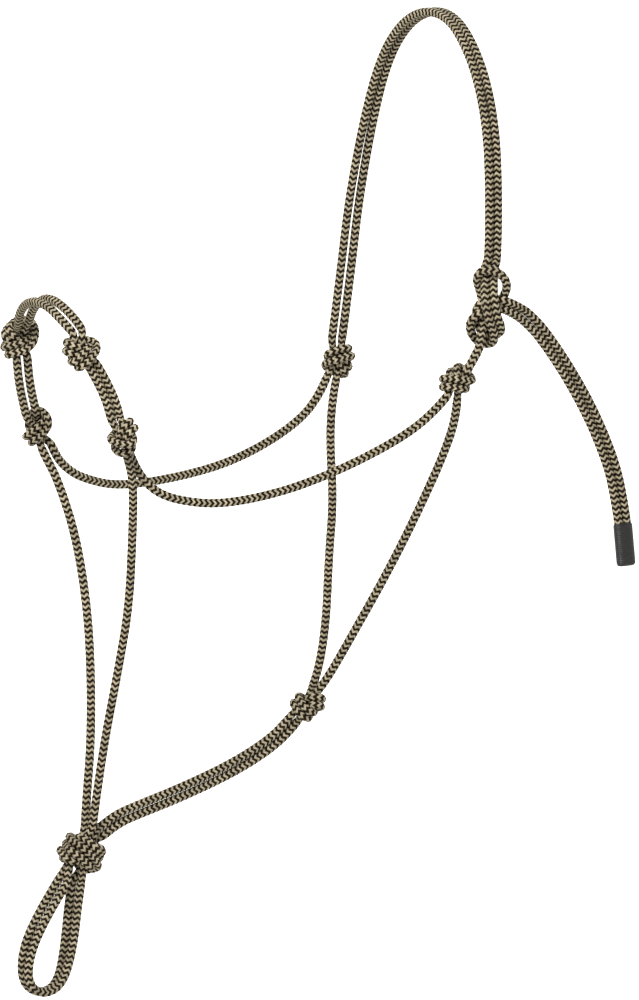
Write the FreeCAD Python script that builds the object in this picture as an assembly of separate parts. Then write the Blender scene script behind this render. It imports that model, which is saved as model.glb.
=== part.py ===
import FreeCAD, Part
import math
import os
from FreeCAD import Vector

# Rope halter for a horse, in millimetres.
# +X points back from the nose to the poll, +Y to the horse's right, +Z up.
# The origin is the underside of the crown at the poll, on the plane that halves the halter.

# Driving dimensions
rope_diameter = 6.35
pair_spacing = 1.06 * rope_diameter      # centre to centre, where two strands lie together
nose_spacing = {"left": 1.12 * rope_diameter, "right": 1.33 * rope_diameter}
knot_width = 27.0                        # doubled overhand knot, across its strands
knot_height = 22.0                       # along its strands
knot_depth = 19.0                        # through its flat side
fiador_diameter = 32.0
whipping_width = 14.6
whipping_depth = 9.2
whipping_end_radius = 2.5
tail_gap = 6.0                           # where the tail bends, halfway along it
turn_share = 0.45                        # how much of the shorter run each arc uses

# Knot centres
cheek_knot = {"left": Vector(-26, -95, -250), "right": Vector(-25, 95, -249)}
nose_side_knot = {"left": Vector(-280, -62, -283), "right": Vector(-280, 62, -286)}
nose_top_knot = {"left": Vector(-301, -47, -221), "right": Vector(-301, 47, -220)}
throat_knot = Vector(-100, 0, -484)
fiador = Vector(-279, 0, -582)
tie = Vector(-3, -96, -203)
tie_size = (26.0, 20.0, 58.0)
tie_lean = 9.0

# Routes of the strands, from knot to knot. Each pair has one route for its middle line.
crown_route = [
    (-25, 94, -241), (-19, 91, -190), (-15, 86, -137), (-9, 77, -82), (-5.5, 60, -36),
    (-3, 35, -8), (1, 7, 5), (5, -20, 3), (5, -46, -12), (7, -66, -40),
    (6, -82, -77), (4, -89, -118), (2, -92, -159), (0, -93, -178),
]
crown_spread = [1.22, 1.24, 1.2, 1.1]    # the crown's strands part a little above the right cheek knot
tie_loop_route = [(-20, -95, -243), (-13, -95, -232), (-8, -95, -223)]
tie_loop_side = Vector(-0.47, -0.88, 0)  # from the inner leg to the outer one
cheek_route = {
    "left": [(-33, -94, -258), (-44, -91, -272), (-69, -88, -290), (-114, -82, -311),
             (-160, -77, -326), (-206, -72, -333), (-236, -67, -329), (-251, -63, -323),
             (-260, -60, -314), (-266, -57, -303), (-271, -58, -292)],
    "right": [(-30, 94, -256), (-35.5, 93.5, -270), (-56, 90, -292), (-103, 83, -314),
              (-149, 77, -325), (-211, 69, -331), (-244, 65, -323), (-259, 63, -314),
              (-268, 61, -304), (-273, 61, -292)],
}
throat_route = {
    "left": [(-27, -93, -258), (-25, -88, -275), (-29, -77, -303), (-43, -59, -350),
             (-57, -40, -393), (-75, -21, -438), (-87, -8, -468), (-94, -4, -478)],
    "right": [(-23, 94, -256), (-29.5, 89.5, -272), (-38, 79, -303), (-45, 60, -346),
              (-59, 41, -387), (-71, 22, -429), (-85, 8, -465), (-94, 4, -478)],
}
chin_route = [
    (-105, 0, -491), (-114, 0, -501), (-131, 0, -514), (-161, 0, -529), (-199, 0, -543),
    (-231, 0, -553), (-252, 0, -560), (-264, 0, -569),
]
nose_band_front_route = [
    (-304, 46, -214), (-308, 39, -207), (-311, 30, -200), (-313, 17, -193), (-314, 0, -190),
    (-313, -17, -193), (-311, -30, -200), (-308, -39, -207), (-304, -46, -214),
]
nose_band_rear_route = [
    (-297, 46, -214), (-299, 39, -206), (-301, 30, -199), (-303, 17, -192), (-304, 0, -188),
    (-303, -17, -192), (-301, -30, -199), (-299, -39, -206), (-297, -46, -214),
]
nose_side_route = {
    "left": [(-297, -48, -228), (-292, -51, -238), (-287, -54, -249), (-283, -58, -262),
             (-281, -61, -276)],
    "right": [(-301, 48, -227), (-299, 50, -239), (-296, 53, -252), (-291, 57, -266),
              (-286, 60, -279)],
}
jaw_route = {
    "left": [(-277, -64, -292), (-272, -63, -303), (-267, -58, -320), (-263, -49, -353),
             (-260, -38, -405), (-263, -27, -451), (-267, -16, -496), (-270, -8, -538),
             (-272, -5, -563)],
    "right": [(-280, 62, -295), (-277, 60, -304), (-268, 57, -321), (-257, 49, -362),
              (-254, 37, -414), (-257, 26, -462), (-263, 15, -507), (-270, 8, -543),
              (-273, 5, -564)],
}
lead_loop_route = [
    (-293, 0, -601), (-302, 0, -614), (-311, 0, -628), (-319, 0, -643), (-323, 0, -657),
    (-323, 0, -669), (-318, 0, -677), (-309, 0, -680), (-300, 0, -677), (-294, 0, -669),
    (-290, 0, -655), (-287, 0, -637), (-285, 0, -619), (-282, 0, -601),
]
# How far the two strands of the loop turn from lying side by side across the horse
lead_loop_turns = [45, 45, 45, 40, 25, 10, 0, 0, 0, -10, -25, -40, -45, -45]
tail_route = [
    (18, -98, -202), (29, -99, -210), (44, -100, -228), (60, -102, -252),
    (74, -104, -277), (85, -106, -302), (93, -108, -327), (97, -109, -355),
]
tail_split = 4                           # runs before the tail's own bend
whipping_route = [(97, -109, -355), (98, -110, -370), (99, -111, -386)]


def vectors(route):
    return [Vector(*point) for point in route]


def unit(vector):
    return vector * (1.0 / vector.Length)


def run_direction(points, index):
    """The direction of the route at a point, from its two neighbours."""
    before = points[max(index - 1, 0)]
    after = points[min(index + 1, len(points) - 1)]
    return unit(after - before)


def moved_toward(point, target, distance):
    return point + unit(target - point) * distance


def path_wire(points, name):
    """Straight runs joined by tangent arcs, as large as the runs allow."""
    edges = []
    radii = []
    start = points[0]
    for before, corner, after in zip(points, points[1:], points[2:]):
        into = unit(corner - before)
        out = unit(after - corner)
        half_turn = into.getAngle(out) / 2
        reach = turn_share * min((corner - before).Length, (after - corner).Length)
        radius = reach / math.tan(half_turn)
        radii.append(radius)
        arc_start = corner - into * reach
        arc_end = corner + out * reach
        bisector = unit(out - into)
        centre = corner + bisector * (radius / math.cos(half_turn))
        middle = centre - bisector * radius
        edges.append(Part.LineSegment(start, arc_start).toShape())
        edges.append(Part.Arc(arc_start, middle, arc_end).toShape())
        start = arc_end
    edges.append(Part.LineSegment(start, points[-1]).toShape())
    print(f"{name}: tightest bend {min(radii) / rope_diameter:.1f} diameters")
    return Part.Wire(edges)


def rope_tube(points, name):
    """A plain round tube along the route, checked against its section times its length."""
    path = path_wire(points, name)
    section = Part.Wire(Part.Circle(points[0], points[1] - points[0], rope_diameter / 2).toShape())
    tube = path.makePipeShell([section], True, True)
    expected = math.pi * rope_diameter ** 2 / 4 * path.Length
    error = tube.Volume / expected - 1
    print(f"{name}: length {path.Length:.0f} mm, volume error {100 * error:.2f} %")
    return tube


def beside(points, offsets):
    return [point + offset for point, offset in zip(points, offsets)]


def pair_of_tubes(points, offsets, names):
    """Two strands, each half the spacing to its own side of the pair's route."""
    opposite = [offset * -1 for offset in offsets]
    return {
        names[0]: rope_tube(beside(points, offsets), names[0]),
        names[1]: rope_tube(beside(points, opposite), names[1]),
    }


def in_plane_offsets(points, spacing):
    """Offsets square to the route in the plane that runs fore and aft."""
    offsets = []
    for index in range(len(points)):
        direction = run_direction(points, index)
        normal = unit(Vector(-direction.z, 0, direction.x))
        offsets.append(normal * (spacing / 2))
    return offsets


def ellipsoid(centre, size, direction):
    """A closed soft knot: size is across, through and along the given direction."""
    ball = Part.makeSphere(1.0)
    scale = FreeCAD.Matrix()
    scale.scale(size[0] / 2, size[1] / 2, size[2] / 2)
    shape = ball.transformGeometry(scale)
    turn = FreeCAD.Rotation(Vector(0, 0, 1), direction)
    shape.Placement = FreeCAD.Placement(centre, turn)
    return shape


def overhand_knot(centre, along):
    """The outer shape of a doubled overhand knot, its flat side facing sideways."""
    shape = ellipsoid(Vector(), (knot_width, knot_depth, knot_height), Vector(0, 0, 1))
    lean = math.degrees(math.atan2(along.x, along.z))
    turn = FreeCAD.Rotation(Vector(0, 1, 0), lean)
    shape.Placement = FreeCAD.Placement(centre, turn)
    return shape


def crown():
    points = vectors(crown_route)
    offsets = [Vector(-pair_spacing / 2, 0, 0)] * len(points)
    for index, spread in enumerate(crown_spread):
        offsets[index] = offsets[index] * spread
    return pair_of_tubes(points, offsets, ("crown_strand_front", "crown_strand_rear"))


def tie_pieces():
    points = vectors(tie_loop_route)
    offsets = [tie_loop_side * (pair_spacing / 2)] * len(points)
    pieces = pair_of_tubes(points, offsets, ("tie_loop_leg_outer", "tie_loop_leg_inner"))
    shape = ellipsoid(Vector(), tie_size, Vector(0, 0, 1))
    turn = FreeCAD.Rotation(Vector(0, 1, 0), tie_lean)
    shape.Placement = FreeCAD.Placement(tie, turn)
    pieces["tie_knot"] = shape
    return pieces


def side_pieces(side):
    """The knots and strands that the left and the right side of the halter each have."""
    nose_points = vectors(nose_side_route[side])
    offsets = [Vector(-nose_spacing[side] / 2, 0, 0)] * len(nose_points)
    names = (f"nose_side_{side}_front", f"nose_side_{side}_rear")
    pieces = pair_of_tubes(nose_points, offsets, names)
    nose_line = nose_top_knot[side] - nose_side_knot[side]
    crown_line = Vector(0.25, 0, 1)
    pieces[f"cheek_knot_{side}"] = overhand_knot(cheek_knot[side], crown_line)
    pieces[f"nose_side_knot_{side}"] = overhand_knot(nose_side_knot[side], nose_line)
    pieces[f"nose_top_knot_{side}"] = overhand_knot(nose_top_knot[side], nose_line)
    for name, route in (("cheek", cheek_route), ("throat", throat_route), ("jaw", jaw_route)):
        strand = f"{name}_strand_{side}"
        pieces[strand] = rope_tube(vectors(route[side]), strand)
    return pieces


def nose_band():
    return {
        "nose_band_front": rope_tube(vectors(nose_band_front_route), "nose_band_front"),
        "nose_band_rear": rope_tube(vectors(nose_band_rear_route), "nose_band_rear"),
    }


def chin():
    points = vectors(chin_route)
    offsets = in_plane_offsets(points, pair_spacing)
    pieces = pair_of_tubes(points, offsets, ("chin_strand_lower", "chin_strand_upper"))
    pieces["throat_knot"] = overhand_knot(throat_knot, points[0] - points[2])
    return pieces


def lead_loop():
    """Two strands side by side, which turn about each other towards the fiador."""
    points = vectors(lead_loop_route)
    offsets = []
    for index, angle in enumerate(lead_loop_turns):
        direction = run_direction(points, index)
        inward = Vector(-direction.z, 0, direction.x)
        turn = math.radians(angle)
        across = Vector(0, -math.cos(turn), 0) + inward * math.sin(turn)
        offsets.append(across * (pair_spacing / 2))
    return pair_of_tubes(points, offsets, ("lead_loop_left_strand", "lead_loop_right_strand"))


def tail():
    """The tail in two lengths, with a gap where it bends."""
    points = vectors(tail_route)
    bend = tail_split
    middle = (points[bend - 1] + points[bend]) * 0.5
    root_points = points[:bend] + [moved_toward(middle, points[bend - 1], tail_gap / 2)]
    end_points = [moved_toward(middle, points[bend], tail_gap / 2)] + points[bend:]
    pieces = {}
    for part, part_points in (("root", root_points), ("end", end_points)):
        offsets = in_plane_offsets(part_points, pair_spacing)
        names = (f"tail_{part}_upper", f"tail_{part}_lower")
        pieces.update(pair_of_tubes(part_points, offsets, names))
    return pieces


def whipping():
    """The bound end: an oval sleeve with a rounded tip, from the last of the tail."""
    points = vectors(whipping_route)
    axis = unit(points[-1] - points[0])
    length = (points[-1] - points[0]).Length
    corner = Vector(-whipping_width / 2, -whipping_depth / 2, 0)
    box = Part.makeBox(whipping_width, whipping_depth, length, corner)
    side_radius = 0.49 * whipping_depth
    box = box.makeFillet(side_radius, [edge for edge in box.Edges if is_upright(edge)])
    rim = [edge for edge in box.Edges if edge.BoundBox.ZMin > length - 0.01]
    sleeve = box.makeFillet(whipping_end_radius, rim)
    across = unit(Vector(-axis.z, 0, axis.x))
    through = axis.cross(across)
    turn = FreeCAD.Rotation(across, through, axis, "ZXY")
    sleeve.Placement = FreeCAD.Placement(points[0], turn)
    return {"tail_whipping": sleeve}


def is_upright(edge):
    box = edge.BoundBox
    return box.ZLength > 1 and box.XLength < 0.01 and box.YLength < 0.01


def main():
    pieces = {}
    pieces.update(crown())
    pieces.update(tie_pieces())
    for side in ("left", "right"):
        pieces.update(side_pieces(side))
    pieces.update(nose_band())
    pieces.update(chin())
    pieces["fiador_knot"] = ellipsoid(fiador, (fiador_diameter,) * 3, Vector(0, 0, 1))
    pieces.update(lead_loop())
    pieces.update(tail())
    pieces.update(whipping())
    os.makedirs("parts", exist_ok=True)
    for name, shape in pieces.items():
        if not shape.isValid() or shape.Volume <= 0:
            print(f"{name}: NOT VALID")
        shape.exportStep(f"parts/{name}.step")
    print(f"{len(pieces)} nodes")


main()
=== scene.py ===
import math
import bpy
import numpy as np
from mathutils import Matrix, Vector


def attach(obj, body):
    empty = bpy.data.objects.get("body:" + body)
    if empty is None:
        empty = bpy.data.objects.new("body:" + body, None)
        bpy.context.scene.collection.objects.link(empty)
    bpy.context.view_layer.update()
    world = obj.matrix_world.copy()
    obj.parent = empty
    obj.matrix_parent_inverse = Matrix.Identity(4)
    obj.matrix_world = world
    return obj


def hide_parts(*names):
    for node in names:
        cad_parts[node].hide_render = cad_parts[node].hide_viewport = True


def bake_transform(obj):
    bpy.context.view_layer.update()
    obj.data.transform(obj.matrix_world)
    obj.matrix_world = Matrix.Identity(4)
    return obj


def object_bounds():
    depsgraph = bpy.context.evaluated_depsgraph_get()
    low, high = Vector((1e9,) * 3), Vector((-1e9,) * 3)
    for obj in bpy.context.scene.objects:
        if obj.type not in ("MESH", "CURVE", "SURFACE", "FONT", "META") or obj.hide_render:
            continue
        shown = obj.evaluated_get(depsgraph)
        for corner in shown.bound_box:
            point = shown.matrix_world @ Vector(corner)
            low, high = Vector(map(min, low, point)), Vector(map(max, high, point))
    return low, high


# A tied rope halter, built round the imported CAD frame, in metres.
# +X points back from the nose, +Y to the horse's right, +Z up. The whole halter is one braided rope:
# every strand between two knots follows its route, and the strands inside a knot are pulled tight here.

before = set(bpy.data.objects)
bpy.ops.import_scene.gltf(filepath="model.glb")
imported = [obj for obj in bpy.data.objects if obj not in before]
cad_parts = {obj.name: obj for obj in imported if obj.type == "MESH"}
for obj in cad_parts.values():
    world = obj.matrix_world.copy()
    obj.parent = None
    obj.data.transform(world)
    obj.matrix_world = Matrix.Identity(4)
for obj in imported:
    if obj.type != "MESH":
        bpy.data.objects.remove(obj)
cad_low, cad_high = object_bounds()

# ---- sizes
rope = 0.00635  # the braid's diameter
pair_spacing = 1.06 * rope
nose_spacing = {"left": 1.12 * rope, "right": 1.33 * rope}
knot_pin = 2.1 * rope  # a knot holds its strands from this far off its centre
fiador_pin = 3.2 * rope
into_whipping = 0.009  # how far the tail's strands run on into the whipping
whipping_width = 0.0146
whipping_depth = 0.0092
fiador_centre = (-0.279, 0.0, -0.582)
tie_origin = np.array([-0.003, -0.096, -0.194])
tail_hinge = (0.067, -0.103, -0.2645)

# ---- camera
picture_height = 0.7056  # what the picture is high, at the halter
picture_centre = Vector((-0.120, -0.060, -0.334))
camera_azimuth = math.radians(-28)
camera_elevation = math.radians(5)
camera_lens = 800.0  # a long lens from far off, with hardly any perspective
camera_sensor = 36.0


def make_camera():
    data = bpy.data.cameras.new("camera")
    data.lens = camera_lens
    data.sensor_width = camera_sensor
    distance = picture_height * camera_lens / data.sensor_width
    back = Vector((
        math.sin(camera_azimuth) * math.cos(camera_elevation),
        -math.cos(camera_azimuth) * math.cos(camera_elevation),
        math.sin(camera_elevation),
    ))
    camera = bpy.data.objects.new("camera", data)
    camera.location = picture_centre + back * distance
    camera.rotation_mode = "QUATERNION"
    camera.rotation_quaternion = (-back).to_track_quat("-Z", "Y")
    data.clip_start = 0.1
    data.clip_end = 200.0
    bpy.context.scene.collection.objects.link(camera)
    bpy.context.scene.camera = camera


make_camera()

# ---- routes, as in the CAD part
crown_route = [
    (-0.025, 0.094, -0.241), (-0.019, 0.091, -0.190), (-0.015, 0.086, -0.137), (-0.009, 0.077, -0.082),
    (-0.0055, 0.060, -0.036), (-0.003, 0.035, -0.008), (0.001, 0.007, 0.005), (0.005, -0.020, 0.003),
    (0.005, -0.046, -0.012), (0.007, -0.066, -0.040), (0.006, -0.082, -0.077), (0.004, -0.089, -0.118),
    (0.002, -0.092, -0.159), (0.000, -0.093, -0.178),
]
crown_spread = [1.22, 1.24, 1.2, 1.1]  # the crown's strands part a little above the right cheek knot
tie_loop_route = [(-0.020, -0.095, -0.243), (-0.013, -0.095, -0.232), (-0.008, -0.095, -0.223)]
tie_loop_side = (-0.47, -0.88, 0.0)  # from the inner leg to the outer one
cheek_route = {
    "left": [
        (-0.033, -0.094, -0.258), (-0.044, -0.091, -0.272), (-0.069, -0.088, -0.290),
        (-0.114, -0.082, -0.311), (-0.160, -0.077, -0.326), (-0.206, -0.072, -0.333),
        (-0.236, -0.067, -0.329), (-0.251, -0.063, -0.323), (-0.260, -0.060, -0.314),
        (-0.266, -0.057, -0.303), (-0.271, -0.058, -0.292),
    ],
    "right": [
        (-0.030, 0.094, -0.256), (-0.0355, 0.0935, -0.270), (-0.056, 0.090, -0.292),
        (-0.103, 0.083, -0.314), (-0.149, 0.077, -0.325), (-0.211, 0.069, -0.331),
        (-0.244, 0.065, -0.323), (-0.259, 0.063, -0.314), (-0.268, 0.061, -0.304),
        (-0.273, 0.061, -0.292),
    ],
}
throat_route = {
    "left": [
        (-0.027, -0.093, -0.258), (-0.025, -0.088, -0.275), (-0.029, -0.077, -0.303),
        (-0.043, -0.059, -0.350), (-0.057, -0.040, -0.393), (-0.075, -0.021, -0.438),
        (-0.087, -0.008, -0.468), (-0.094, -0.004, -0.478),
    ],
    "right": [
        (-0.023, 0.094, -0.256), (-0.0295, 0.0895, -0.272), (-0.038, 0.079, -0.303),
        (-0.045, 0.060, -0.346), (-0.059, 0.041, -0.387), (-0.071, 0.022, -0.429),
        (-0.085, 0.008, -0.465), (-0.094, 0.004, -0.478),
    ],
}
chin_route = [
    (-0.105, 0, -0.491), (-0.114, 0, -0.501), (-0.131, 0, -0.514), (-0.161, 0, -0.529),
    (-0.199, 0, -0.543), (-0.231, 0, -0.553), (-0.252, 0, -0.560), (-0.264, 0, -0.569),
]
nose_band_route = {
    "front": [
        (-0.304, 0.046, -0.214), (-0.308, 0.039, -0.207), (-0.311, 0.030, -0.200),
        (-0.313, 0.017, -0.193), (-0.314, 0.000, -0.190), (-0.313, -0.017, -0.193),
        (-0.311, -0.030, -0.200), (-0.308, -0.039, -0.207), (-0.304, -0.046, -0.214),
    ],
    "rear": [
        (-0.297, 0.046, -0.214), (-0.299, 0.039, -0.206), (-0.301, 0.030, -0.199),
        (-0.303, 0.017, -0.192), (-0.304, 0.000, -0.188), (-0.303, -0.017, -0.192),
        (-0.301, -0.030, -0.199), (-0.299, -0.039, -0.206), (-0.297, -0.046, -0.214),
    ],
}
nose_side_route = {
    "left": [
        (-0.297, -0.048, -0.228), (-0.292, -0.051, -0.238), (-0.287, -0.054, -0.249),
        (-0.283, -0.058, -0.262), (-0.281, -0.061, -0.276),
    ],
    "right": [
        (-0.301, 0.048, -0.227), (-0.299, 0.050, -0.239), (-0.296, 0.053, -0.252),
        (-0.291, 0.057, -0.266), (-0.286, 0.060, -0.279),
    ],
}
jaw_route = {
    "left": [
        (-0.277, -0.064, -0.292), (-0.272, -0.063, -0.303), (-0.267, -0.058, -0.320),
        (-0.263, -0.049, -0.353), (-0.260, -0.038, -0.405), (-0.263, -0.027, -0.451),
        (-0.267, -0.016, -0.496), (-0.270, -0.008, -0.538), (-0.272, -0.005, -0.563),
    ],
    "right": [
        (-0.280, 0.062, -0.295), (-0.277, 0.060, -0.304), (-0.268, 0.057, -0.321),
        (-0.257, 0.049, -0.362), (-0.254, 0.037, -0.414), (-0.257, 0.026, -0.462),
        (-0.263, 0.015, -0.507), (-0.270, 0.008, -0.543), (-0.273, 0.005, -0.564),
    ],
}
lead_loop_route = [
    (-0.293, 0, -0.601), (-0.302, 0, -0.614), (-0.311, 0, -0.628), (-0.319, 0, -0.643),
    (-0.323, 0, -0.657), (-0.323, 0, -0.669), (-0.318, 0, -0.677), (-0.309, 0, -0.680),
    (-0.300, 0, -0.677), (-0.294, 0, -0.669), (-0.290, 0, -0.655), (-0.287, 0, -0.637),
    (-0.285, 0, -0.619), (-0.282, 0, -0.601),
]
lead_loop_turns = [45, 45, 45, 40, 25, 10, 0, 0, 0, -10, -25, -40, -45, -45]
tail_route = [
    (0.018, -0.098, -0.202), (0.029, -0.099, -0.210), (0.044, -0.100, -0.228), (0.060, -0.102, -0.252),
    (0.074, -0.104, -0.277), (0.085, -0.106, -0.302), (0.093, -0.108, -0.327), (0.097, -0.109, -0.355),
]
whipping_route = [(0.097, -0.109, -0.355), (0.098, -0.110, -0.370), (0.099, -0.111, -0.386)]


def unit(v):
    return v / np.maximum(np.linalg.norm(v, axis=-1, keepdims=True), 1e-12)


def arc_lengths(line):
    steps = np.linalg.norm(np.diff(line, axis=0), axis=1)
    return np.concatenate([[0.0], np.cumsum(steps)])


def at_lengths(line, along, wanted):
    return np.stack([np.interp(wanted, along, line[:, k]) for k in range(line.shape[1])], axis=1)


def even(line, step):
    """The line again, with points about step apart."""
    along = arc_lengths(line)
    count = max(2, round(along[-1] / step) + 1)
    return at_lengths(line, along, np.linspace(0, along[-1], count))


def nurbs_line(points, order=3):
    """The smooth line of a route, whose points are the control points of a NURBS spline."""
    data = bpy.data.curves.new("route", "CURVE")
    data.dimensions = "3D"
    data.resolution_u = 16
    spline = data.splines.new("NURBS")
    spline.points.add(len(points) - 1)
    for target, point in zip(spline.points, points):
        target.co = (*point, 1.0)
    spline.order_u = order
    spline.use_endpoint_u = True
    carrier = bpy.data.objects.new("route", data)
    mesh = bpy.data.meshes.new_from_object(carrier)
    line = np.array([v.co for v in mesh.vertices], float)
    bpy.data.meshes.remove(mesh)
    bpy.data.curves.remove(data)
    return line


def run_directions(points):
    ahead = np.vstack([points[1:], points[-1:]])
    behind = np.vstack([points[:1], points[:-1]])
    return unit(ahead - behind)


def fore_and_aft(points, turns=None):
    """For each point, the direction across a pair of strands that lie in the plane y = 0."""
    run = run_directions(points)
    inward = np.stack([-run[:, 2], np.zeros(len(run)), run[:, 0]], axis=1)
    if turns is None:
        return unit(inward)
    angle = np.radians(turns)[:, None]
    return unit(inward) * np.sin(angle) - np.cos(angle) * np.array([0.0, 1.0, 0.0])


def pair(points, across, spacing):
    """The lines of two strands, each half the spacing to its own side of the pair's route."""
    points = np.array(points, float)
    offset = across * spacing / 2
    return nurbs_line(points + offset), nurbs_line(points - offset)


def strand_lines():
    """The centreline of each strand between two knots, from its first knot to its last."""
    lines = {}
    forward = np.array([-1.0, 0.0, 0.0])
    across = np.tile(forward, (len(crown_route), 1))
    across[:len(crown_spread)] *= np.array(crown_spread)[:, None]
    lines["crown_strand_front"], lines["crown_strand_rear"] = pair(crown_route, across, pair_spacing)
    lines["tie_loop_leg_outer"], lines["tie_loop_leg_inner"] = pair(
        tie_loop_route, np.array(tie_loop_side), pair_spacing)
    for side in ("left", "right"):
        lines[f"nose_side_{side}_front"], lines[f"nose_side_{side}_rear"] = pair(
            nose_side_route[side], forward, nose_spacing[side])
        lines[f"cheek_strand_{side}"] = nurbs_line(cheek_route[side])
        lines[f"throat_strand_{side}"] = nurbs_line(throat_route[side])
        lines[f"jaw_strand_{side}"] = nurbs_line(jaw_route[side])
    for end in ("front", "rear"):
        lines[f"nose_band_{end}"] = nurbs_line(nose_band_route[end])
    across = fore_and_aft(np.array(chin_route, float))
    lines["chin_strand_lower"], lines["chin_strand_upper"] = pair(chin_route, across, pair_spacing)
    across = fore_and_aft(np.array(lead_loop_route, float), lead_loop_turns)
    lines["lead_loop_left_strand"], lines["lead_loop_right_strand"] = pair(
        lead_loop_route, across, pair_spacing)
    across = fore_and_aft(np.array(tail_route, float))
    for name, line in zip(("tail_upper", "tail_lower"), pair(tail_route, across, pair_spacing)):
        onward = unit(line[-1] - line[-2]) * into_whipping
        lines[name] = np.vstack([line, line[-1] + onward])
    return lines


lines = strand_lines()

# ---- knots
# Each overhand knot: its centre, the degrees round it of the face to the front, whether it is mirrored,
# the half turns that its pair of strands makes inside it, and the strands that come to it from above and
# below, each with the end of its line that is there.
knots = {
    "cheek_knot_left": {
        "centre": (-0.026, -0.095, -0.250), "face": 135, "mirrored": False, "half_turns": -1,
        "above": [("tie_loop_leg_outer", 0), ("tie_loop_leg_inner", 0)],
        "below": [("cheek_strand_left", 0), ("throat_strand_left", 0)],
    },
    "cheek_knot_right": {
        "centre": (-0.025, 0.095, -0.249), "face": 270, "mirrored": False, "half_turns": 0,
        "above": [("crown_strand_front", 0), ("crown_strand_rear", 0)],
        "below": [("cheek_strand_right", 0), ("throat_strand_right", 0)],
    },
    "nose_side_knot_left": {
        "centre": (-0.280, -0.062, -0.283), "face": 135, "mirrored": True, "half_turns": -1,
        "above": [("nose_side_left_front", -1), ("nose_side_left_rear", -1)],
        "below": [("jaw_strand_left", 0), ("cheek_strand_left", -1)],
    },
    "nose_side_knot_right": {
        "centre": (-0.280, 0.062, -0.286), "face": 180, "mirrored": False, "half_turns": -1,
        "above": [("nose_side_right_front", -1), ("nose_side_right_rear", -1)],
        "below": [("jaw_strand_right", 0), ("cheek_strand_right", -1)],
    },
    "nose_top_knot_left": {
        "centre": (-0.301, -0.047, -0.221), "face": 90, "mirrored": False, "half_turns": -1,
        "above": [("nose_band_front", -1), ("nose_band_rear", -1)],
        "below": [("nose_side_left_front", 0), ("nose_side_left_rear", 0)],
    },
    "nose_top_knot_right": {
        "centre": (-0.301, 0.047, -0.220), "face": 135, "mirrored": False, "half_turns": 0,
        "above": [("nose_band_front", 0), ("nose_band_rear", 0)],
        "below": [("nose_side_right_front", 0), ("nose_side_right_rear", 0)],
    },
    "throat_knot": {
        "centre": (-0.100, 0.0, -0.484), "face": 135, "mirrored": True, "half_turns": 0,
        "above": [("throat_strand_left", -1), ("throat_strand_right", -1)],
        "below": [("chin_strand_lower", 0), ("chin_strand_upper", 0)],
    },
}

# ---- pulling a knot tight
node_step = 0.5 * rope
smallest_bend = 0.72  # the radius of the tightest bend, in diameters
pressed = 0.93 * rope  # how far apart two strands lie where a knot presses them together
fiador_pressed = 0.97 * pressed
tie_pressed = 0.94 * rope
widest_bend = 1.5  # the most that half of a chord's arc turns, in radians
self_touch = 1.35  # a strand may touch itself from this far along it, in diameters
search_reach = 1.6  # nodes nearer than this, in diameters, are watched for touching
straightening = 0.1  # the share of its bow that a node loses in each pass
push_share = 0.9  # the share of its depth that a node is pushed out in each pass
crowding = 0.35  # how much less a push counts where several meet in one node

held_at = {}  # how far from the end of each strand's line its knot holds it


def linked(owner, gap):
    """The first of every two nodes that are gap apart on one strand."""
    first = np.arange(len(owner) - gap)
    return first[owner[first] == owner[first + gap]]


def hold_apart(nodes, weight, index, first, gap, wanted, only_push):
    """Moves nodes that are gap apart to their wanted distance, a set at a time that shares no node."""
    for part in range(gap + 1):
        a = first[index[first] % (gap + 1) == part]
        b = a + gap
        way = nodes[b] - nodes[a]
        distance = np.linalg.norm(way, axis=1)
        error = distance - wanted[a]
        if only_push:
            error = np.minimum(error, 0)
        share = np.maximum(weight[a] + weight[b], 1e-9)
        move = way * (error / share / np.maximum(distance, 1e-12))[:, None]
        nodes[a] += move * weight[a][:, None]
        nodes[b] -= move * weight[b][:, None]


def push_clear(nodes, weight, a, b, diameter):
    """Pushes nodes that lie in each other apart, and returns how deep the deepest of them lies."""
    way = nodes[b] - nodes[a]
    distance = np.linalg.norm(way, axis=1)
    depth = diameter - distance
    hit = depth > 0
    if not hit.any():
        return 0.0
    a, b, way, distance, deep = a[hit], b[hit], way[hit], distance[hit], depth[hit]
    share = np.maximum(weight[a] + weight[b], 1e-9)[:, None]
    move = way * (deep / np.maximum(distance, 1e-9))[:, None]
    push = np.zeros_like(nodes)
    count = np.zeros(len(nodes))
    np.add.at(push, a, -move * weight[a][:, None] / share)
    np.add.at(push, b, move * weight[b][:, None] / share)
    np.add.at(count, a, 1)
    np.add.at(count, b, 1)
    nodes += push * (push_share / np.maximum(count, 1) ** crowding)[:, None]
    return deep.max()


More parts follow.
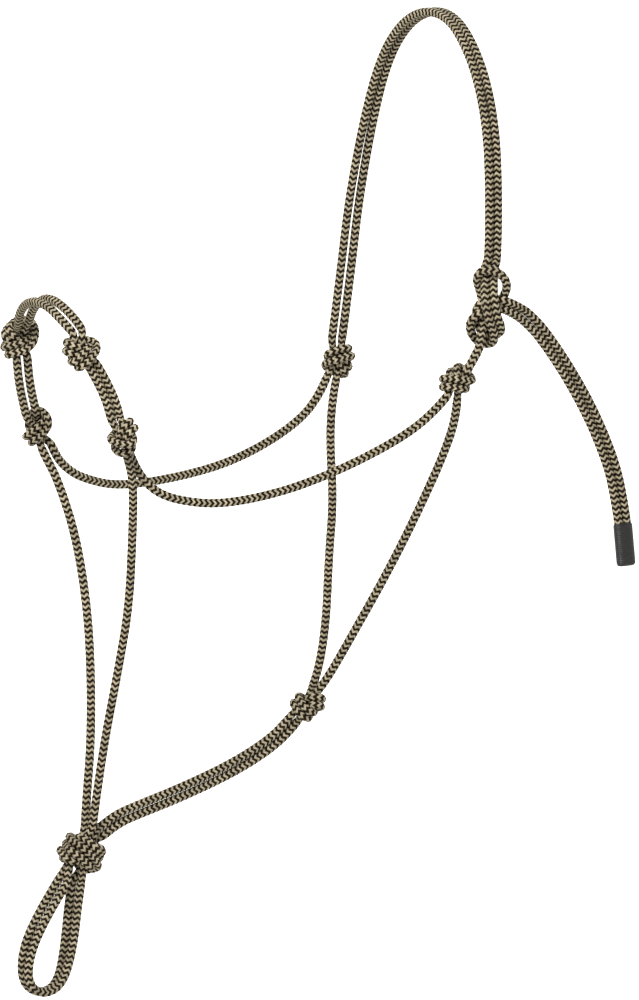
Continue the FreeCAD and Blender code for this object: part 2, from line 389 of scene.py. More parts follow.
def tighten(strands, diameter, rounds, shrink, limit, inner=6):
    """Draws strands along themselves until they bear on each other. Two nodes at each end stay put."""
    owner = np.repeat(np.arange(len(strands)), [len(s) for s in strands])
    index = np.concatenate([np.arange(len(s)) for s in strands])
    to_end = np.concatenate([np.arange(len(s))[::-1] for s in strands])
    nodes = np.concatenate(strands)
    home = nodes.copy()
    held = (index < 2) | (to_end < 2)
    weight = np.where(held, 0.0, 1.0)
    one, two, three = linked(owner, 1), linked(owner, 2), linked(owner, 3)
    rest = np.zeros(len(nodes))
    rest[one] = np.linalg.norm(nodes[one + 1] - nodes[one], axis=1)
    first, second = np.triu_indices(len(nodes), 1)
    radius = smallest_bend * diameter
    for _ in range(rounds):
        apart = math.ceil(self_touch * diameter / rest[one].mean())
        strangers = (owner[first] != owner[second]) | (second - first >= apart)
        near = np.linalg.norm(nodes[first] - nodes[second], axis=1) < search_reach * diameter
        touching = strangers & near & ~(held[first] & held[second])
        a, b = first[touching], second[touching]
        chord_of_two = 2 * radius * np.sin(np.minimum(rest / radius, widest_bend))
        chord_of_three = 2 * radius * np.sin(np.minimum(1.5 * rest / radius, widest_bend))
        for _ in range(inner):
            hold_apart(nodes, weight, index, one, 1, rest, False)
            hold_apart(nodes, weight, index, two, 2, chord_of_two, True)
            hold_apart(nodes, weight, index, three, 3, chord_of_three, True)
            bow = (nodes[two] + nodes[two + 2]) / 2 - nodes[two + 1]
            nodes[two + 1] += straightening * bow * weight[two + 1][:, None]
            worst = push_clear(nodes, weight, a, b, diameter)
            nodes[held] = home[held]
        if worst < limit * diameter:
            rest = rest * (1 - shrink)
    return [nodes[owner == k] for k in range(len(strands))]


def carried_normals(points, normal):
    """Normals carried along a line without any twist of their own, and the line's directions."""
    run = unit(np.gradient(points, axis=0))
    normals = np.zeros_like(points)
    normals[0] = unit(normal - run[0] * (normal @ run[0]))
    for i in range(1, len(points)):
        step = points[i] - points[i - 1]
        size = step @ step
        before = normals[i - 1] - 2 / size * (step @ normals[i - 1]) * step
        ahead = run[i - 1] - 2 / size * (step @ run[i - 1]) * step
        turn = run[i] - ahead
        size = turn @ turn
        normals[i] = before if size < 1e-14 else before - 2 / size * (turn @ before) * turn
    return normals, run


def eased(share):
    share = np.clip(share, 0, 1)
    return share * share * (3 - 2 * share)


# The overhand knot, in diameters. It is first tied loosely in one fat rope, and then in two strands.
fat_thickness = 2.15
fat_step = 0.6  # between the fat rope's nodes, as a share of its thickness
loose_size = 4.6
loose_ends = (9.0, 7.5)  # the heights of the two nodes at each end
loose_steps = 199
smoothing_rounds = 60
pair_offset = 0.53  # from the middle of the pair to each strand
pair_steps = 330
pair_reach = 4.2  # the height of the pair's ends
straight_from = 2.6  # the height from which its ends are drawn to the axis
end_share = 0.15  # how much of its line is an end
twist_from, twist_over = 0.1, 0.8  # where the pair turns about itself, as shares of its line
core_height = 1.75  # the part of the tied pair that is kept


def fat_overhand():
    """An overhand knot along Z in one rope as thick as two strands, pulled tight."""
    fat = fat_thickness * rope
    t = np.linspace(-2, 2, 300)
    loop = np.stack([(t**3 - 3 * t) / 2, (t**4 - 4 * t**2 + 2) / 2.2, -(t**5 - 10 * t) / 11.5], axis=1)
    above = np.array([[0, 0, height * rope] for height in loose_ends])
    line = np.concatenate([above, loop * loose_size * rope, -above[::-1]])
    line = even(line, arc_lengths(line)[-1] / loose_steps)
    for _ in range(smoothing_rounds):
        line[1:-1] = line[1:-1] / 2 + (line[:-2] + line[2:]) / 4
    line = even(line, fat_step * fat)
    return tighten([line], fat, rounds=400, shrink=0.006, limit=0.05, inner=8)[0]


fat_knot = fat_overhand()


def doubled_overhand(above, below, half_turns):
    """The same knot in two strands. above and below are the angles round the knot's axis at which the
    pair lies where it enters and leaves."""
    reach = pair_reach * rope
    inside = np.flatnonzero(np.abs(fat_knot[:, 2]) < reach)
    line = even(fat_knot[inside[0]:inside[-1] + 1], arc_lengths(fat_knot)[-1] / pair_steps)
    count = len(line)
    from_end = np.minimum(np.arange(count), np.arange(count)[::-1])
    share = eased((np.abs(line[:, 2]) - straight_from * rope) / (reach - straight_from * rope))
    line[:, :2] *= (1 - np.where(from_end < count * end_share, share, 0))[:, None]
    normals, run = carried_normals(line, np.array([math.cos(above), math.sin(above), 0.0]))
    across = np.cross(run, normals)
    wanted = np.array([math.cos(below), math.sin(below), 0.0])
    twist = math.atan2(wanted @ across[-1], wanted @ normals[-1])
    twist = (twist + math.pi / 2) % math.pi - math.pi / 2 + half_turns * math.pi
    angle = (twist * eased((np.linspace(0, 1, count) - twist_from) / twist_over))[:, None]
    offset = (normals * np.cos(angle) + across * np.sin(angle)) * pair_offset * rope
    strands = [even(line + offset, node_step), even(line - offset, node_step)]
    return tighten(strands, pressed, rounds=260, shrink=0.008, limit=0.07)


def stub(key, centre, pin):
    """Two nodes on a strand's line, where it is pin from a knot's centre and one step further out."""
    name, end = key
    line = lines[name] if end == 0 else lines[name][::-1]
    along = arc_lengths(line)
    clear = np.flatnonzero(np.linalg.norm(line - centre, axis=1) >= pin)[0]
    held_at[key] = along[clear] + node_step
    return at_lengths(line, along, [along[clear], along[clear] + node_step])


def join_strand(core, start, end):
    """A strand from outside the knot at start, through its core, to outside the knot at end."""
    return even(np.concatenate([start[::-1], core, end]), node_step)


def best_order(points, targets):
    """Which target each of two points takes, for the least distance in all."""
    straight = np.linalg.norm(points[0] - targets[0]) + np.linalg.norm(points[1] - targets[1])
    crossed = np.linalg.norm(points[0] - targets[1]) + np.linalg.norm(points[1] - targets[0])
    return (0, 1) if straight <= crossed else (1, 0)


def axis_matrix(axis, turn):
    """Columns: a frame whose Z lies along axis, turned by turn about it."""
    lean = Vector((0, 0, 1)).rotation_difference(Vector(axis)).to_matrix()
    spin = np.array([
        [math.cos(turn), -math.sin(turn), 0],
        [math.sin(turn), math.cos(turn), 0],
        [0, 0, 1],
    ])
    return np.array(lean) @ spin


def tie_overhand(fact):
    """The two strands of one overhand knot, each with the ends of the strands that it joins."""
    centre = np.array(fact["centre"])
    above = [stub(key, centre, knot_pin) for key in fact["above"]]
    below = [stub(key, centre, knot_pin) for key in fact["below"]]
    axis = unit(above[0][0] + above[1][0] - below[0][0] - below[1][0])
    frame_of_knot = axis_matrix(axis, camera_azimuth - math.radians(fact["face"]))
    if fact["mirrored"]:
        frame_of_knot = frame_of_knot @ np.diag([1.0, -1.0, 1.0])
    angles = []
    for two in (above, below):
        across = frame_of_knot.T @ (two[0][0] - two[1][0])
        angles.append(math.atan2(across[1], across[0]))
    strands = []
    for strand in doubled_overhand(*angles, fact["half_turns"]):
        core = strand[np.abs(strand[:, 2]) < core_height * rope]
        strands.append(centre + core @ frame_of_knot.T)
    first = best_order([s[0] for s in strands], [a[0] for a in above])
    last = best_order([s[-1] for s in strands], [b[0] for b in below])
    joined = [join_strand(s, above[i], below[j]) for s, i, j in zip(strands, first, last)]
    joined = tighten(joined, pressed, rounds=70, shrink=0.003, limit=0.07)
    keys = [(fact["above"][i], fact["below"][j]) for i, j in zip(first, last)]
    return list(zip(keys, joined))


# One strand of the fiador knot. Each row: degrees round the knot, height and distance from its axis in
# diameters.
fiador_turns = [
    (0, 2.7, 0.75), (0, 1.5, 0.72), (0, 0.0, 0.72), (0, -1.5, 0.78), (10, -2.2, 1.2), (30, -2.3, 1.9),
    (60, -1.8, 2.25), (105, -1.2, 2.25), (150, -0.6, 2.25), (195, 0.0, 2.25), (240, 0.6, 2.25),
    (285, 1.2, 2.25), (330, 1.8, 2.25), (365, 2.25, 2.0), (395, 2.3, 1.6), (415, 1.6, 1.4),
    (420, 0.0, 1.37), (420, -1.6, 1.37), (420, -2.2, 1.2), (420, -2.8, 1.0),
]


def tie_fiador():
    """The fiador knot: each of four strands comes down through the middle, out at the bottom, climbs
    once round all four, and goes in over the top and out again below."""
    centre = np.array(fiador_centre)
    keys_above = [
        ("jaw_strand_left", -1), ("jaw_strand_right", -1), ("chin_strand_lower", -1),
        ("chin_strand_upper", -1),
    ]
    keys_below = [
        ("lead_loop_left_strand", 0), ("lead_loop_right_strand", 0), ("lead_loop_left_strand", -1),
        ("lead_loop_right_strand", -1),
    ]
    above = [stub(key, centre, fiador_pin) for key in keys_above]
    below = [stub(key, centre, fiador_pin) for key in keys_below]
    axis = unit(np.mean([a[0] for a in above], axis=0) - np.mean([b[0] for b in below], axis=0))
    frame_of_knot = axis_matrix(axis, 0.0)
    strands = []
    for quarter in range(4):
        turn = np.radians([-degrees - 90 * quarter for degrees, _, _ in fiador_turns])
        height = np.array([high for _, high, _ in fiador_turns])
        out = np.array([far for _, _, far in fiador_turns])
        path = np.stack([out * np.cos(turn), out * np.sin(turn), height], axis=1) * rope
        strands.append(centre + nurbs_line(path) @ frame_of_knot.T)

    def angle_of(point):
        local = frame_of_knot.T @ (point - centre)
        return math.atan2(local[1], local[0])

    def in_order(points, targets):
        """The target of each point, when both are taken in their order round the axis."""
        of_points = np.argsort([angle_of(p) for p in points])
        of_targets = np.argsort([angle_of(t) for t in targets])
        best, choice = 1e9, None
        for shift in range(4):
            order = np.roll(of_targets, shift)
            total = sum(np.linalg.norm(points[p] - targets[t]) for p, t in zip(of_points, order))
            if total < best:
                best, choice = total, dict(zip(of_points.tolist(), order.tolist()))
        return choice

    first = in_order([s[0] for s in strands], [a[0] for a in above])
    last = in_order([s[-1] for s in strands], [b[0] for b in below])
    joined = [join_strand(s, above[first[i]], below[last[i]]) for i, s in enumerate(strands)]
    joined = tighten(joined, fiador_pressed, rounds=260, shrink=0.005, limit=0.08)
    keys = [(keys_above[first[i]], keys_below[last[i]]) for i in range(4)]
    return list(zip(keys, joined))


# The tie is a sheet bend. Its strands, in diameters from its origin: to the right, up and out. The loop
# below is one bight, and the crown's two strands come down through it and go round it.
tie_bight = [
    (-1.0, -4.6, 1.0), (-0.8, -3.6, 0.6), (-0.6, -2.2, -0.4), (-0.7, -0.8, -1.0),
    (-0.9, 0.6, -0.8), (-1.2, 1.6, -0.2), (-1.7, 2.6, 0.4), (-1.2, 3.4, 0.7), (-0.1, 3.5, 0.7),
    (1.0, 3.2, 0.6), (1.9, 2.5, 0.3), (2.2, 1.5, -0.1), (2.0, 0.6, -0.6), (1.2, -0.4, -1.0),
    (0.4, -1.6, -1.1), (-0.3, -2.8, -0.9), (-0.7, -3.8, -0.3), (-1.0, -4.6, 0.0),
]
tie_left_strand = [
    (-0.6, 4.2, -0.6), (-0.6, 3.2, -0.5), (-0.55, 1.8, 0.3), (-0.5, 0.4, 1.2), (-0.4, -1.2, 1.3),
    (0.1, -2.7, 1.1), (0.7, -4.0, 0.4), (0.6, -5.0, -0.5), (-0.5, -5.2, -1.1), (-1.6, -4.7, -0.8),
    (-2.3, -3.5, 0.0), (-2.4, -2.4, 0.4), (-1.8, -1.6, 0.6), (-0.9, -1.1, 0.4), (0.3, -0.8, 0.1),
    (1.5, -0.8, 0.0),
]
tie_right_strand = [
    (0.4, 4.2, -0.6), (0.4, 3.2, -0.5), (0.38, 1.8, 0.3), (0.42, 0.4, 1.2), (0.55, -1.2, 1.2),
    (1.0, -2.4, 0.9), (1.6, -3.3, 0.1), (1.0, -4.1, -0.7), (-0.2, -4.4, -1.2), (-0.9, -4.0, -1.3),
    (-1.3, -2.8, -1.0), (-1.4, -1.8, -0.3), (-1.4, -0.6, 0.3), (-0.9, 0.1, 0.3), (0.3, 0.2, 0.1),
    (1.5, 0.2, 0.1),
]
# how far from the end of each strand's line the tie holds it
tie_hold = {
    "tie_loop_leg_outer": 0.006, "tie_loop_leg_inner": 0.006,
    "crown_strand_front": 0.012, "crown_strand_rear": 0.012,
    "tail_lower": 0.006, "tail_upper": 0.006,
}


def tie_bend():
    """The sheet bend that closes the crown, with its three strands in place."""
    right = np.array([math.cos(camera_azimuth), math.sin(camera_azimuth), 0.0])
    out = np.array([right[1], -right[0], 0.0])
    frame_of_knot = np.stack([right, [0.0, 0.0, 1.0], out])

    def placed(points):
        return tie_origin + nurbs_line(np.array(points) * rope @ frame_of_knot)

    loose = {
        (("tie_loop_leg_outer", -1), ("tie_loop_leg_inner", -1)): placed(tie_bight),
        (("crown_strand_front", -1), ("tail_lower", 0)): placed(tie_left_strand),
        (("crown_strand_rear", -1), ("tail_upper", 0)): placed(tie_right_strand),
    }
    joined = []
    for (start, end), core in loose.items():
        held = []
        for key in (start, end):
            name, end_of_line = key
            line = lines[name] if end_of_line == 0 else lines[name][::-1]
            held_at[key] = tie_hold[name] + node_step
            held.append(at_lengths(line, arc_lengths(line), [tie_hold[name], held_at[key]]))
        joined.append(join_strand(core, held[0], held[1]))
    joined = tighten(joined, tie_pressed, rounds=60, shrink=0.0, limit=0.07)
    return list(zip(loose.keys(), joined))


tied = {name: tie_overhand(fact) for name, fact in knots.items()}
tied["fiador_knot"] = tie_fiador()
tied["tie_knot"] = tie_bend()

# ---- one rope
stitch = 0.00198  # one stitch of the braid along the rope
rows_per_stitch = 4
columns = 8  # columns of stitches round the rope
points_per_column = 4
row = stitch / rows_per_stitch
around = columns * points_per_column
zigzag = 0.7 * math.pi * rope / columns  # how far a stitch climbs across its column
core_radius = 0.00280
stitch_height = 0.00056
knot_squeeze = 0.87  # how much thinner a hard knot presses the rope
fiador_squeeze = 0.91  # the looser fiador knot
tie_squeeze = 1.0  # and the tie, which is not pulled tight
squeeze_length = 0.006  # the length over which the rope thins
first_normal = np.array([0.3, 0.9, 0.2])  # any direction that is not along the rope where it starts
stitch_section = np.array([0.0, 0.80, 1.0, 0.80])
column_section = np.array([0.15, 0.80, 1.0, 0.80])


def trimmed(name):
    """A strand's line between the two knots that hold it."""
    line = lines[name]
    along = arc_lengths(line)
    start = held_at.get((name, 0), 0.0)
    end = along[-1] - held_at.get((name, -1), 0.0)
    inside = (along > start) & (along < end)
    return at_lengths(line, along, np.concatenate([[start], along[inside], [end]]))


def rounded(nodes):
    return nurbs_line(nodes, order=4)


def follow_rope(start, joins, used):
    """Each strand or knot that the rope passes from one end of a strand, with its line in it."""
    key = start
    run = []
    while key[0] not in used:
        used.add(key[0])
        line = trimmed(key[0])
        run.append((key[0], line if key[1] == 0 else line[::-1]))
        key = (key[0], -1 if key[1] == 0 else 0)
        if key not in joins:
            break
        knot, nodes, key = joins[key]
        run.append((knot, rounded(nodes)))
    return run


def all_runs():
    joins = {}
    for knot, strands in tied.items():
        for (first, last), nodes in strands:
            joins[first] = (knot, nodes, last)
            joins[last] = (knot, nodes[::-1], first)
    used = set()
    runs = [follow_rope(("tail_upper", -1), joins, used)]
    for name in lines:
        if name not in used:
            runs.append(follow_rope((name, 0), joins, used))
    return runs


class Rope:
    """One run of rope, counted in rows from its start, and where its strands and knots are."""

    def __init__(self, run):
        points = [run[0][1]]
        bounds = [0.0]
        for _, stretch in run[1:]:
            points.append(stretch[1:])
        for _, stretch in run:
            bounds.append(bounds[-1] + arc_lengths(stretch)[-1])
        line = np.concatenate(points)
        along = arc_lengths(line)
        spread = np.arange(0, along[-1] + row, row)
        self.steps = at_lengths(line, along, spread)
        self.normals, self.run = carried_normals(self.steps, first_normal)
        self.count = len(self.steps)
        self.squeeze = self.squeezed(run, bounds, spread)
        margin = math.ceil(zigzag / row)
        self.parts = []
        for (name, _), low, high in zip(run, bounds, bounds[1:]):
            first = max(round(low / row), 0)
            last = min(round(high / row), self.count - 1 - margin)
            self.parts.append((name, first, last))

    def squeezed(self, run, bounds, spread):
        """How thick the rope is along itself, as a share of its full thickness."""
        squeezes = {name: knot_squeeze for name in knots}
        squeezes.update(fiador_knot=fiador_squeeze, tie_knot=tie_squeeze)
        places, shares = [0.0], [1.0]
        for (name, _), low, high in zip(run, bounds, bounds[1:]):
            if name in squeezes:
                places += [low, low + squeeze_length, high - squeeze_length, high]
                shares += [1.0, squeezes[name], squeezes[name], 1.0]
        return np.interp(spread, places, shares)

    def rings(self, first, last):
        """The surface points of the rings from first to last, which zigzag along their stitches."""
        place = np.arange(first, last + 1)[:, None]
        spot = np.arange(around)
        column, across = np.divmod(spot, points_per_column)
        share = across / points_per_column
        climb = np.where(column % 2 == 0, share, 1 - share) * zigzag / row
        where = np.clip(place + climb[None, :], 0, self.count - 1)
        whole = np.minimum(where.astype(int), self.count - 2)
        part = (where - whole)[..., None]

        def between(values):
            return values[whole] * (1 - part) + values[whole + 1] * part

        centre = between(self.steps)
        run = unit(between(self.run))
        normal = between(self.normals)
        normal = unit(normal - run * (normal * run).sum(axis=2, keepdims=True))
        side = np.cross(run, normal)
        angle = (2 * math.pi * spot / around)[None, :, None]
        relief = stitch_section[place % rows_per_stitch] * column_section[across][None, :]
        thickness = between(self.squeeze[:, None])[..., 0]
        radius = ((core_radius + stitch_height * relief) * thickness)[..., None]
        return centre + radius * (np.cos(angle) * normal + np.sin(angle) * side)


ropes = [Rope(run) for run in all_runs()]


def strands_of():
    """For each strand and knot, its parts of the rope as (rope, first ring, last ring)."""
    parts = {}
    for one in ropes:
        for name, first, last in one.parts:
            parts.setdefault(name, []).append((one, first, last))
    return parts


# The even map, in shares: where a row starts along it and its length, then the same across a row.
row_margin, row_length = 0.003, 0.994
fold_margin, fold_width = 0.03, 0.94
cap_place = 0.001  # where the closed ends take their colour


def bake_rows(parts):
    """How the strands of a piece fold into rows of even length, for a compact, even map."""
    total = sum(last - first for _, first, last in parts)
    wanted = max(1, round(math.sqrt(total * row / (math.pi * rope))))
    return math.ceil(total / wanted)


def tube_quads(count, per_ring, base=0):
    """The faces between count + 1 rings of points."""
    spot = np.arange(per_ring)
    index = base + np.arange(count)[:, None] * per_ring
    following = (spot + 1) % per_ring
    quads = np.stack([index + spot, index + following, index + per_ring + following,
                      index + per_ring + spot], axis=2)
    return quads.reshape(-1, 4).tolist()


def face_corners(low, high, left, right):
    """The places of each face's four corners in a map, two numbers a corner."""
    return np.stack([low, left, low, right, high, right, high, left], axis=1)


def braid_mesh(name, parts):
    """A braided tube along each of the parts, with a closed end at each end."""
    points, faces, slots, yarn, baked = [], [], [], [], []
    per_row = bake_rows(parts)
    row_count = sum(math.ceil((last - first) / per_row) for _, first, last in parts)
    base = 0
    row_at = 0
    spot = np.arange(around)
    following = (spot + 1) % around
    for one, first, last in parts:
        rings = one.rings(first, last)
        count = last - first
        points.append(rings.reshape(-1, 3))
        faces.extend(tube_quads(count, around, base))
        place = first + np.arange(count)
        slots.append(np.repeat(place // rows_per_stitch % 2, around))
        low, high = place / rows_per_stitch, (place + 1) / rows_per_stitch
        left, right = spot / points_per_column, (spot + 1) / points_per_column
        low, high = np.repeat(low, around), np.repeat(high, around)
        left, right = np.tile(left, count), np.tile(right, count)
        yarn.append(face_corners(low, high, left, right))
        fold, step = np.divmod(np.arange(count), per_row)
        low = row_margin + row_length * step / per_row
        high = row_margin + row_length * (step + 1) / per_row
        low, high = np.repeat(low, around), np.repeat(high, around)
        fold = np.repeat(fold + row_at, around)
        left = (fold + fold_margin + fold_width * np.tile(spot / around, count)) / row_count
        right = (fold + fold_margin + fold_width * np.tile((spot + 1) / around, count)) / row_count
        baked.append(face_corners(low, high, left, right))
        row_at += math.ceil(count / per_row)
        for ring, centre, flip in ((0, one.steps[first], True), (count, one.steps[last], False)):
            points.append(np.array([centre]))
            tip = base + (count + 1) * around + (0 if flip else 1)
            edge = base + ring * around
            for s, f in zip(spot, following):
                faces.append([edge + f, edge + s, tip] if flip else [edge + s, edge + f, tip])
            slots.append(np.ones(around, int))
            cap = np.zeros((around, 6))
            yarn.append(cap)
            baked.append(cap + cap_place)
        base += (count + 1) * around + 2
    mesh = bpy.data.meshes.new(name)
    mesh.from_pydata(np.concatenate(points), [], faces)
    mesh.materials.append(materials["tan_yarn"])
    mesh.materials.append(materials["dark_yarn"])
    mesh.polygons.foreach_set("material_index", np.concatenate(slots).astype(np.int32))
    mesh.polygons.foreach_set("use_smooth", np.ones(len(faces), bool))
    for layer, values in (("yarn", yarn), ("OFBake", baked)):
        corner = np.concatenate([v.reshape(-1) for v in values]).astype(np.float32)
        mesh.uv_layers.new(name=layer).data.foreach_set("uv", corner)
    mesh.update()
    return mesh


# ---- materials
def shader(name):
    material = bpy.data.materials.new(name)
    material.use_nodes = True
    return material, material.node_tree.nodes, material.node_tree.links


def math_node(nodes, links, operation, *inputs):
    node = nodes.new("ShaderNodeMath")
    node.operation = operation
    for socket, value in zip(node.inputs, inputs):
        if isinstance(value, (int, float)):
            socket.default_value = value
        else:
            links.new(value, socket)
    return node.outputs[0]


def range_node(nodes, links, value, low, high, to_low, to_high):
    node = nodes.new("ShaderNodeMapRange")
    links.new(value, node.inputs["Value"])
    limits = {"From Min": low, "From Max": high, "To Min": to_low, "To Max": to_high}
    for socket, number in limits.items():
        node.inputs[socket].default_value = number
    return node.outputs[0]


def mix_node(nodes, links, share, first, second):
    node = nodes.new("ShaderNodeMix")
    node.data_type = "RGBA"
    links.new(share, node.inputs["Factor"])
    for socket, value in ((node.inputs[6], first), (node.inputs[7], second)):
        if isinstance(value, tuple):
            socket.default_value = (*value, 1.0)
        else:
            links.new(value, socket)
    return node.outputs[2]


def noise_node(nodes, links, vector, scale, detail):
    node = nodes.new("ShaderNodeTexNoise")
    node.inputs["Scale"].default_value = scale
    node.inputs["Detail"].default_value = detail
    links.new(vector, node.inputs["Vector"])
    return node.outputs[0]


def yarn_material(name, shade, light, crease_shade_and_wear):
    """Braided polyester yarn: filaments along each stitch, stitches that differ a little, painted shade
    in the grooves between the stitches, and random wear.
    """
    material, nodes, links = shader(name)
    surface = nodes["Principled BSDF"]
    place = nodes.new("ShaderNodeUVMap")
    place.uv_map = "yarn"
    split = nodes.new("ShaderNodeSeparateXYZ")
    links.new(place.outputs[0], split.inputs[0])
    across, along = split.outputs[0], split.outputs[1]
    which = nodes.new("ShaderNodeCombineXYZ")
    links.new(math_node(nodes, links, "FLOOR", across), which.inputs[0])
    links.new(math_node(nodes, links, "FLOOR", along), which.inputs[1])
    lot = nodes.new("ShaderNodeTexWhiteNoise")
    links.new(which.outputs[0], lot.inputs["Vector"])
    fibre = nodes.new("ShaderNodeCombineXYZ")
    links.new(math_node(nodes, links, "MULTIPLY", across, 7.0), fibre.inputs[0])
    links.new(math_node(nodes, links, "MULTIPLY", along, 0.8), fibre.inputs[1])
    links.new(math_node(nodes, links, "MULTIPLY", lot.outputs["Value"], 20.0), fibre.inputs[2])
    streak = noise_node(nodes, links, fibre.outputs[0], 1.0, 2.0)
    spread = range_node(nodes, links, streak, 0.3, 0.7, 0.0, 1.0)
    body = mix_node(nodes, links, spread, shade, light)
    # Painted shade: near the edges of each column of stitches, where the grooves between them lie, the
    # colour is drawn towards the dark third colour.
    middle = math_node(nodes, links, "PINGPONG", across, 0.5)
    edge = range_node(nodes, links, middle, 0.0, 0.16, 0.75, 0.0)
    body = mix_node(nodes, links, edge, body, crease_shade_and_wear)
    # Random wear, drawn towards the same dark colour.
    coordinates = nodes.new("ShaderNodeTexCoord")
    wear = noise_node(nodes, links, coordinates.outputs["Object"], 60.0, 3.0)
    wear = range_node(nodes, links, wear, 0.45, 0.8, 0.0, 0.35)
    body = mix_node(nodes, links, wear, body, crease_shade_and_wear)
    uneven = range_node(nodes, links, lot.outputs["Value"], 0.0, 1.0, 0.82, 1.1)
    tone = nodes.new("ShaderNodeHueSaturation")
    links.new(body, tone.inputs["Color"])
    links.new(uneven, tone.inputs["Value"])
    links.new(tone.outputs[0], surface.inputs["Base Color"])
    links.new(range_node(nodes, links, streak, 0.3, 0.7, 0.85, 0.55), surface.inputs["Roughness"])
    bump = nodes.new("ShaderNodeBump")
    bump.inputs["Strength"].default_value = 0.6
    bump.inputs["Distance"].default_value = 0.00012
    links.new(streak, bump.inputs["Height"])
    links.new(bump.outputs[0], surface.inputs["Normal"])
    surface.inputs["Specular IOR Level"].default_value = 0.1
    return material


def twine_material():
    """Black waxed twine, with a little sheen on the windings and dust between them."""
    material, nodes, links = shader("black_twine")
    surface = nodes["Principled BSDF"]
    coordinates = nodes.new("ShaderNodeTexCoord")
    fine = noise_node(nodes, links, coordinates.outputs["Object"], 900.0, 3.0)
    broad = noise_node(nodes, links, coordinates.outputs["Object"], 120.0, 2.0)
    body = mix_node(nodes, links, range_node(nodes, links, fine, 0.35, 0.7, 0.0, 1.0),
                    (0.002, 0.002, 0.002), (0.012, 0.011, 0.010))
    body = mix_node(nodes, links, range_node(nodes, links, broad, 0.5, 0.8, 0.0, 0.4), body,
                    (0.018, 0.015, 0.012))
    links.new(body, surface.inputs["Base Color"])
    links.new(range_node(nodes, links, fine, 0.3, 0.7, 0.38, 0.6), surface.inputs["Roughness"])
    bump = nodes.new("ShaderNodeBump")
    bump.inputs["Strength"].default_value = 0.5
    bump.inputs["Distance"].default_value = 0.00008
    links.new(fine, bump.inputs["Height"])
    links.new(bump.outputs[0], surface.inputs["Normal"])
    return material


materials = {
    # Each yarn's colours: its darker and lighter tones, then the dark colour of the painted shade in the
    # grooves between stitches and of random wear.
    "tan_yarn": yarn_material(
        "tan_yarn", (0.23, 0.19, 0.11), (0.54, 0.475, 0.345), (0.03, 0.02, 0.007)),
    "dark_yarn": yarn_material(
        "dark_yarn", (0.003, 0.0015, 0.0002), (0.019, 0.0095, 0.0018), (0.002, 0.001, 0.0005)),
    "black_twine": twine_material(),
}

# ---- pieces
# The strands that bend where a joint moves: the two bodies, the length that bends, and whether the bend
# is at the strand's upper end.
bends = {
    "jaw_strand_left": (("halter", "fiador"), 0.060, False),
    "jaw_strand_right": (("halter", "fiador"), 0.060, False),
    "chin_strand_lower": (("halter", "fiador"), 0.050, False),
    "chin_strand_upper": (("halter", "fiador"), 0.050, False),
    "lead_loop_left_strand": (("fiador", "lead_loop"), 0.025, True),
    "lead_loop_right_strand": (("fiador", "lead_loop"), 0.025, True),
    "tail_root_upper": (("halter", "tail"), 0.068, True),
    "tail_root_lower": (("halter", "tail"), 0.068, True),
    "tail_end_upper": (("tail", "tail_end"), 0.040, True),
    "tail_end_lower": (("tail", "tail_end"), 0.040, True),
}


def add_piece(name, mesh):
    piece = bpy.data.objects.new(name, mesh)
    bpy.context.scene.collection.objects.link(piece)
    return piece


def centre_line(parts):
    one, first, last = parts[0]
    return one.steps[first:last + 1]


def add_knot(name, parts):
    piece = add_piece(f"{name}_braid", braid_mesh(f"{name}_braid", parts))
    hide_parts(name)
    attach(piece, "fiador" if name == "fiador_knot" else "halter")


def add_strand(node, parts):
    """One strand between two knots: a tube of braid that replaces the CAD's."""
    piece = add_piece(f"{node}_braid", braid_mesh(f"{node}_braid", parts))
    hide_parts(node)
    if node in bends:
        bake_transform(piece)
    else:
        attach(piece, "halter")
    return piece


def whipping_mesh():
    """Twine wound round both ends of the rope: an oval sleeve of close windings with rounded ends."""
    windings = 20
    rows_per_winding = 6
    spots = 64
    groove_depth = 0.0005
    groove_sharpness = 0.6
    rounding = 0.0026
    squareness = 0.85
    line = nurbs_line(whipping_route)
    along = arc_lengths(line)
    count = windings * rows_per_winding
    steps = at_lengths(line, along, np.linspace(0, along[-1], count + 1))
    run = unit(np.gradient(steps, axis=0))
    wide = unit(np.cross([0.0, 1.0, 0.0], run))
    deep = np.cross(run, wide)
    angle = 2 * math.pi * np.arange(spots) / spots
    turn = np.arange(count + 1)[:, None] / rows_per_winding - np.arange(spots)[None, :] / spots
    ridge = np.abs(np.sin(math.pi * turn)) ** groove_sharpness
    from_end = np.minimum(np.arange(count + 1), count - np.arange(count + 1)) / count * along[-1]
    drop = rounding - np.sqrt(np.maximum(rounding**2 - np.maximum(rounding - from_end, 0) ** 2, 0))
    drop = np.minimum(drop, rounding * 0.92)[:, None]
    groove = groove_depth * (1 - ridge)
    half_wide = whipping_width / 2 - drop - groove
    half_deep = whipping_depth / 2 - drop - groove
    across, out = np.cos(angle), np.sin(angle)
    across = np.sign(across) * np.abs(across) ** squareness
    out = np.sign(out) * np.abs(out) ** squareness
    points = (steps[:, None, :] + wide[:, None, :] * (half_wide * across)[..., None]
              + deep[:, None, :] * (half_deep * out)[..., None])
    spot = np.arange(spots)
    following = (spot + 1) % spots
    faces = tube_quads(count, spots)
    faces += [[f, s, (count + 1) * spots] for s, f in zip(spot, following)]
    edge = count * spots
    faces += [[edge + s, edge + f, (count + 1) * spots + 1] for s, f in zip(spot, following)]
    mesh = bpy.data.meshes.new("tail_whipping_twine")
    mesh.from_pydata(np.concatenate([points.reshape(-1, 3), steps[:1], steps[-1:]]), [], faces)
    mesh.polygons.foreach_set("use_smooth", np.ones(len(faces), bool))
    mesh.materials.append(materials["black_twine"])
    return mesh


def add_whipping():
    piece = add_piece("tail_whipping_twine", whipping_mesh())
    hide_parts("tail_whipping")
    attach(piece, "tail_end")
    return piece


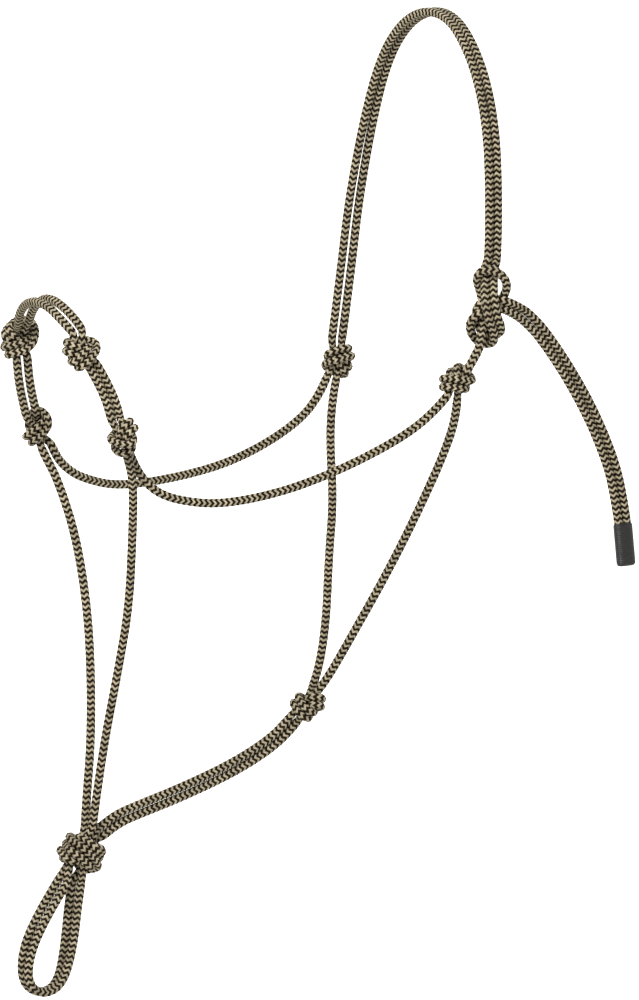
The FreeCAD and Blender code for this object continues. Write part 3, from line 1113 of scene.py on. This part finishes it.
def split_tail(parts):
    """The tail's strand in two, where its hinge is."""
    one, first, last = parts[0]
    centres = centre_line(parts)
    middle = first + int(np.argmin(np.linalg.norm(centres - tail_hinge, axis=1)))
    from_tie = np.linalg.norm(centres[0] - tie_origin) < np.linalg.norm(centres[-1] - tie_origin)
    near, far = (one, first, middle), (one, middle, last)
    return (near, far) if from_tie else (far, near)


def add_rope():
    whipping = add_whipping()
    for name, parts in strands_of().items():
        if name in tied:
            add_knot(name, parts)
        elif name.startswith("tail"):
            which = name.split("_")[1]
            root, end = split_tail(parts)
            add_strand(f"tail_root_{which}", [root])
            add_strand(f"tail_end_{which}", [end])
        else:
            add_strand(name, parts)


add_rope()


# ---- studio
floor_size = 40.0
floor_drop = 0.35  # how far the floor lies under the hanging halter
floor_light_width, floor_light_depth = 10.0, 19.0
floor_light_distance = 11.0
floor_light_height = 1.4
floor_light_powers = (1380.0, 550.0, 550.0, 550.0)  # watts: behind the halter, then round it
sky_strength = 0.08


def add_floor():
    material, nodes, links = shader("floor")
    nodes["Principled BSDF"].inputs["Base Color"].default_value = (0.9, 0.9, 0.89, 1)
    nodes["Principled BSDF"].inputs["Roughness"].default_value = 0.9
    size = floor_size
    level = cad_low.z - floor_drop
    mesh = bpy.data.meshes.new("floor")
    corners = [(-size, -size, level), (size, -size, level), (size, size, level), (-size, size, level)]
    mesh.from_pydata(corners, [], [(0, 1, 2, 3)])
    mesh.materials.append(material)
    floor = bpy.data.objects.new("floor", mesh)
    bpy.context.scene.collection.objects.link(floor)


def aim_light(name, place, way, width, depth, power):
    """A soft light at a place, which shines against way."""
    data = bpy.data.lights.new(name, "AREA")
    data.shape = "RECTANGLE"
    data.size = width
    data.size_y = depth
    data.energy = power
    light = bpy.data.objects.new(name, data)
    light.location = place
    light.rotation_mode = "QUATERNION"
    light.rotation_quaternion = way.to_track_quat("Z", "Y")
    bpy.context.scene.collection.objects.link(light)
    return light


def add_light(name, azimuth, elevation, distance, size, power):
    """A soft square light that faces the halter from azimuth, measured from -Y towards +X."""
    turn, up = math.radians(azimuth), math.radians(elevation)
    way = Vector((math.sin(turn) * math.cos(up), -math.cos(turn) * math.cos(up), math.sin(up)))
    aim_light(name, picture_centre + way * distance, way, size, size, power)


def add_floor_light(quarter, power):
    """A wide light over the floor on one side of the halter, which keeps the floor pale there."""
    turn = camera_azimuth + quarter * math.pi / 2
    place = Vector((
        -math.sin(turn) * floor_light_distance,
        math.cos(turn) * floor_light_distance,
        floor_light_height,
    ))
    light = aim_light(
        f"floor_light_{quarter}", place, Vector((0, 0, 1)), floor_light_width, floor_light_depth, power)
    light.rotation_mode = "XYZ"
    light.rotation_euler = (0.0, 0.0, turn)


def add_studio():
    add_floor()
    for quarter, power in enumerate(floor_light_powers):
        add_floor_light(quarter, power)
    add_light("key", azimuth=-50, elevation=45, distance=1.8, size=0.6, power=31)
    world = bpy.data.worlds.new("studio")
    world.use_nodes = True
    world.node_tree.nodes["Background"].inputs[0].default_value = (1, 1, 1, 1)
    world.node_tree.nodes["Background"].inputs[1].default_value = sky_strength
    bpy.context.scene.world = world
    bpy.context.scene.view_settings.view_transform = "Standard"


add_studio()
